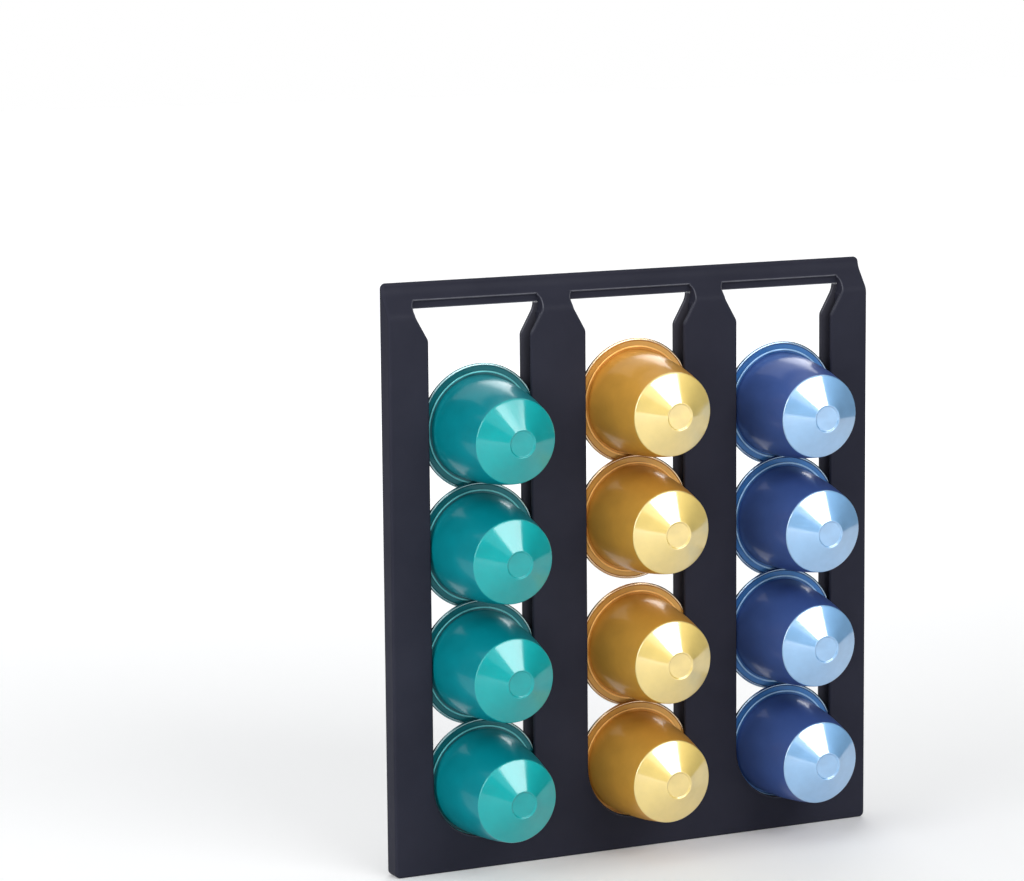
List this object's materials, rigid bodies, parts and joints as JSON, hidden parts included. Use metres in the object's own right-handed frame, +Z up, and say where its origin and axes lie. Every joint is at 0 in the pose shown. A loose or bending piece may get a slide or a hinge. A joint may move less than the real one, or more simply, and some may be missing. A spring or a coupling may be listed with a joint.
{
  "type": "coffee capsule holder",
  "caption": "Flat stick-on holder with upright slots that keep stacks of coffee capsules by their rims and a ramped top with flared mouths.",
  "frame": {"origin": "middle of the bottom adhesive strip's back face, on the plane that meets the wall the holder is stuck to", "axes": "+X across the plate to the right as seen from the front, +Y back into the wall, so the front faces -Y, +Z up along the slots"},
  "size_m": [0.1558, 0.0323, 0.1708],
  "materials": {
    "holder_plastic": "fine matte moulded texture, satin",
    "guide_plastic": "matte moulded",
    "foam_tape": "matte foam tape with paper liner",
    "teal_aluminium": "tinted lacquer over satin drawn aluminium",
    "gold_aluminium": "tinted lacquer over satin drawn aluminium",
    "blue_aluminium": "tinted lacquer over satin drawn aluminium",
    "lid_foil": "plain bright foil",
    "seal_silicone": "clear soft sealing bead",
    "ground_coffee": "ground coffee"
  },
  "bodies": {
    "holder": {"faceplate": "holder_plastic", "rear_guide": "guide_plastic", "adhesive_strip_bottom": "foam_tape", "adhesive_strip_left": "foam_tape", "adhesive_strip_inner_left": "foam_tape", "adhesive_strip_inner_right": "foam_tape", "adhesive_strip_right": "foam_tape"},
    "teal_capsule_1": {"teal_capsule_1_shell": "teal_aluminium", "teal_capsule_1_seal_ring": "seal_silicone", "teal_capsule_1_foil_lid": "lid_foil", "teal_capsule_1_coffee": "ground_coffee"},
    "teal_capsule_2": {"teal_capsule_2_shell": "teal_aluminium", "teal_capsule_2_seal_ring": "seal_silicone", "teal_capsule_2_foil_lid": "lid_foil", "teal_capsule_2_coffee": "ground_coffee"},
    "teal_capsule_3": {"teal_capsule_3_shell": "teal_aluminium", "teal_capsule_3_seal_ring": "seal_silicone", "teal_capsule_3_foil_lid": "lid_foil", "teal_capsule_3_coffee": "ground_coffee"},
    "teal_capsule_4": {"teal_capsule_4_shell": "teal_aluminium", "teal_capsule_4_seal_ring": "seal_silicone", "teal_capsule_4_foil_lid": "lid_foil", "teal_capsule_4_coffee": "ground_coffee"},
    "gold_capsule_1": {"gold_capsule_1_shell": "gold_aluminium", "gold_capsule_1_seal_ring": "seal_silicone", "gold_capsule_1_foil_lid": "lid_foil", "gold_capsule_1_coffee": "ground_coffee"},
    "gold_capsule_2": {"gold_capsule_2_shell": "gold_aluminium", "gold_capsule_2_seal_ring": "seal_silicone", "gold_capsule_2_foil_lid": "lid_foil", "gold_capsule_2_coffee": "ground_coffee"},
    "gold_capsule_3": {"gold_capsule_3_shell": "gold_aluminium", "gold_capsule_3_seal_ring": "seal_silicone", "gold_capsule_3_foil_lid": "lid_foil", "gold_capsule_3_coffee": "ground_coffee"},
    "gold_capsule_4": {"gold_capsule_4_shell": "gold_aluminium", "gold_capsule_4_seal_ring": "seal_silicone", "gold_capsule_4_foil_lid": "lid_foil", "gold_capsule_4_coffee": "ground_coffee"},
    "blue_capsule_1": {"blue_capsule_1_shell": "blue_aluminium", "blue_capsule_1_seal_ring": "seal_silicone", "blue_capsule_1_foil_lid": "lid_foil", "blue_capsule_1_coffee": "ground_coffee"},
    "blue_capsule_2": {"blue_capsule_2_shell": "blue_aluminium", "blue_capsule_2_seal_ring": "seal_silicone", "blue_capsule_2_foil_lid": "lid_foil", "blue_capsule_2_coffee": "ground_coffee"},
    "blue_capsule_3": {"blue_capsule_3_shell": "blue_aluminium", "blue_capsule_3_seal_ring": "seal_silicone", "blue_capsule_3_foil_lid": "lid_foil", "blue_capsule_3_coffee": "ground_coffee"},
    "blue_capsule_4": {"blue_capsule_4_shell": "blue_aluminium", "blue_capsule_4_seal_ring": "seal_silicone", "blue_capsule_4_foil_lid": "lid_foil", "blue_capsule_4_coffee": "ground_coffee"}
  },
  "joints": [
    {"name": "teal_capsule_1_slide", "type": "slide", "parent": "holder", "child": "teal_capsule_1", "axis": [0, 0, 1], "range_m": [0, 0.034]},
    {"name": "teal_capsule_2_slide", "type": "slide", "parent": "holder", "child": "teal_capsule_2", "axis": [0, 0, 1], "range_m": [0, 0.034]},
    {"name": "teal_capsule_3_slide", "type": "slide", "parent": "holder", "child": "teal_capsule_3", "axis": [0, 0, 1], "range_m": [0, 0.034]},
    {"name": "teal_capsule_4_slide", "type": "slide", "parent": "holder", "child": "teal_capsule_4", "axis": [0, 0, 1], "range_m": [0, 0.034]},
    {"name": "gold_capsule_1_slide", "type": "slide", "parent": "holder", "child": "gold_capsule_1", "axis": [0, 0, 1], "range_m": [0, 0.034]},
    {"name": "gold_capsule_2_slide", "type": "slide", "parent": "holder", "child": "gold_capsule_2", "axis": [0, 0, 1], "range_m": [0, 0.034]},
    {"name": "gold_capsule_3_slide", "type": "slide", "parent": "holder", "child": "gold_capsule_3", "axis": [0, 0, 1], "range_m": [0, 0.004]},
    {"name": "gold_capsule_4_slide", "type": "slide", "parent": "holder", "child": "gold_capsule_4", "axis": [0, 0, 1], "range_m": [0, 0.004]},
    {"name": "blue_capsule_1_slide", "type": "slide", "parent": "holder", "child": "blue_capsule_1", "axis": [0, 0, 1], "range_m": [0, 0.034]},
    {"name": "blue_capsule_2_slide", "type": "slide", "parent": "holder", "child": "blue_capsule_2", "axis": [0, 0, 1], "range_m": [0, 0.034]},
    {"name": "blue_capsule_3_slide", "type": "slide", "parent": "holder", "child": "blue_capsule_3", "axis": [0, 0, 1], "range_m": [0, 0.034]},
    {"name": "blue_capsule_4_slide", "type": "slide", "parent": "holder", "child": "blue_capsule_4", "axis": [0, 0, 1], "range_m": [0, 0.034]}
  ],
  "couplings": [
    {"joint": "teal_capsule_1_slide", "follows": "teal_capsule_4_slide", "ratio": 1},
    {"joint": "teal_capsule_2_slide", "follows": "teal_capsule_4_slide", "ratio": 1},
    {"joint": "teal_capsule_3_slide", "follows": "teal_capsule_4_slide", "ratio": 1},
    {"joint": "blue_capsule_1_slide", "follows": "blue_capsule_4_slide", "ratio": 1},
    {"joint": "blue_capsule_2_slide", "follows": "blue_capsule_4_slide", "ratio": 1},
    {"joint": "blue_capsule_3_slide", "follows": "blue_capsule_4_slide", "ratio": 1},
    {"joint": "gold_capsule_1_slide", "follows": "gold_capsule_2_slide", "ratio": 1},
    {"joint": "gold_capsule_3_slide", "follows": "gold_capsule_4_slide", "ratio": 1}
  ]
}
